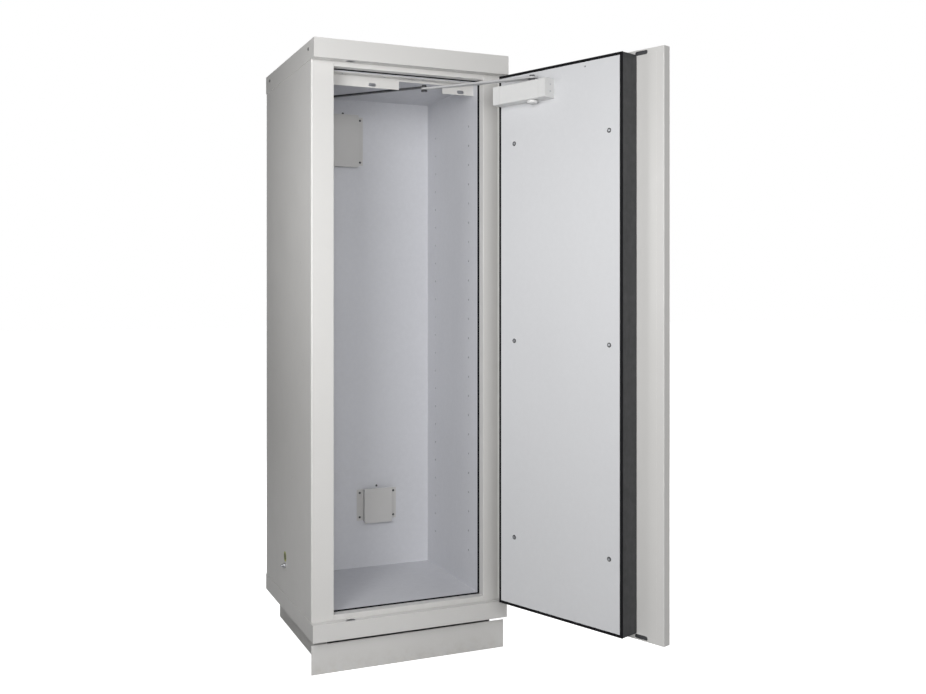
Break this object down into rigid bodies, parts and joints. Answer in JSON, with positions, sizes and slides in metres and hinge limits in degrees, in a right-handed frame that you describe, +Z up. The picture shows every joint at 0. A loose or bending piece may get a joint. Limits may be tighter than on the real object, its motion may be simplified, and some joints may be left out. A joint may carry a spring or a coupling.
{
  "type": "battery cabinet",
  "caption": "Tall fire-resistant cabinet for storing batteries: insulated walls on a plinth and one thick door on pivot pins with an overhead closer.",
  "frame": {"origin": "on the floor, under the centre of the cabinet body's plan, at the centre of the four floor anchors", "axes": "+X to the right seen from the front, +Y from the front to the back, +Z up"},
  "size_m": [0.9136, 1.2186, 1.97],
  "materials": {
    "coated_steel": "light grey textured powder coat",
    "lining": "smooth blue-grey laminate",
    "fire_board": "chalky mineral board",
    "block_core": "dark grey board with a foil face",
    "inner_panel": "satin light grey laminate",
    "seal": "matt black",
    "dark_fittings": "dark grey",
    "zinc_steel": "zinc plated",
    "closer_paint": "silver-grey enamel",
    "black_arm": "black enamel",
    "bush_brass": "plain bronze",
    "earth_sticker": "yellow-green film"
  },
  "bodies": {
    "cabinet": {"plinth_rail_left": "coated_steel", "plinth_rail_right": "coated_steel", "plinth_rail_rear": "coated_steel", "base_tray": "coated_steel", "top_cap": "coated_steel", "cap_screws": "dark_fittings", "side_panel_left": "coated_steel", "side_panel_right": "coated_steel", "rear_panel": "coated_steel", "front_lintel": "coated_steel", "front_sill": "coated_steel", "insulation_left": "fire_board", "insulation_right": "fire_board", "insulation_rear": "fire_board", "insulation_top": "fire_board", "insulation_bottom": "fire_board", "liner_left": "lining", "liner_right": "lining", "liner_rear": "lining", "liner_floor": "lining", "liner_ceiling": "lining", "frame_seal": "seal", "lintel_plate": "coated_steel", "ceiling_screws": "zinc_steel", "lower_vent_cover": "coated_steel", "upper_vent_cover": "coated_steel", "vent_screws": "zinc_steel", "vent_grilles": "seal", "exhaust_duct": "zinc_steel", "supply_duct": "zinc_steel", "exhaust_spigot": "coated_steel", "supply_spigot": "coated_steel", "hinge_pin_bottom": "zinc_steel", "hinge_pin_top": "zinc_steel", "earth_stud": "zinc_steel", "earth_label": "earth_sticker", "closer_shoe": "dark_fittings"},
    "plinth_front": {"plinth_panel": "coated_steel", "plinth_panel_clips": "dark_fittings"},
    "door": {"door_leaf": "coated_steel", "door_leaf_back": "coated_steel", "leaf_insulation": "fire_board", "door_block": "block_core", "door_inner_panel": "inner_panel", "door_seal": "seal", "door_panel_screws": "zinc_steel", "hinge_bushes": "bush_brass", "bolt_guides": "dark_fittings", "lock_case": "zinc_steel", "handle_plate": "dark_fittings", "closer_body": "closer_paint", "closer_valve_screws": "zinc_steel"},
    "handle": {"door_handle": "dark_fittings"},
    "key_cylinder": {"lock_cylinder": "zinc_steel"},
    "bolt_top": {"top_bolt": "zinc_steel"},
    "bolt_bottom": {"bottom_bolt": "zinc_steel"},
    "closer_main_arm": {"closer_spindle": "closer_paint", "closer_arm": "closer_paint", "closer_elbow": "zinc_steel"},
    "closer_fore_arm": {"closer_forearm": "black_arm"}
  },
  "joints": [
    {"name": "door_swing", "type": "hinge", "parent": "cabinet", "child": "door", "pos_m": [0.3145, -0.317, 1.01675], "axis": [0, 0, 1], "range_deg": [-111, 0]},
    {"name": "handle_turn", "type": "hinge", "parent": "door", "child": "handle", "pos_m": [0.53284, -0.84535, 1.05], "axis": [-0.9336, -0.3584, 0], "range_deg": [0, 90]},
    {"name": "key_turn", "type": "hinge", "parent": "door", "child": "key_cylinder", "pos_m": [0.53284, -0.84535, 0.988], "axis": [-0.9336, -0.3584, 0], "range_deg": [0, 90]},
    {"name": "top_bolt_slide", "type": "slide", "parent": "door", "child": "bolt_top", "axis": [0, 0, 1], "range_m": [0, 0.018]},
    {"name": "bottom_bolt_slide", "type": "slide", "parent": "door", "child": "bolt_bottom", "axis": [0, 0, -1], "range_m": [0, 0.018]},
    {"name": "closer_arm_turn", "type": "hinge", "parent": "door", "child": "closer_main_arm", "pos_m": [0.29459, -0.56511, 1.823], "axis": [0, 0, 1], "range_deg": [0, 59.5]},
    {"name": "closer_forearm_turn", "type": "hinge", "parent": "cabinet", "child": "closer_fore_arm", "pos_m": [-0.191, 0.019, 1.829], "axis": [0, 0, 1], "range_deg": [0, 71.5]},
    {"name": "plinth_panel_pull", "type": "slide", "parent": "cabinet", "child": "plinth_front", "axis": [0, -1, 0], "range_m": [0, 0.06]}
  ],
  "couplings": [
    {"joint": "top_bolt_slide", "follows": "handle_turn", "m_per_rad": 0.0114},
    {"joint": "bottom_bolt_slide", "follows": "handle_turn", "m_per_rad": 0.0114},
    {"joint": "closer_arm_turn", "follows": "door_swing", "ratio": -0.53404},
    {"joint": "closer_forearm_turn", "follows": "door_swing", "ratio": -0.64272}
  ]
}
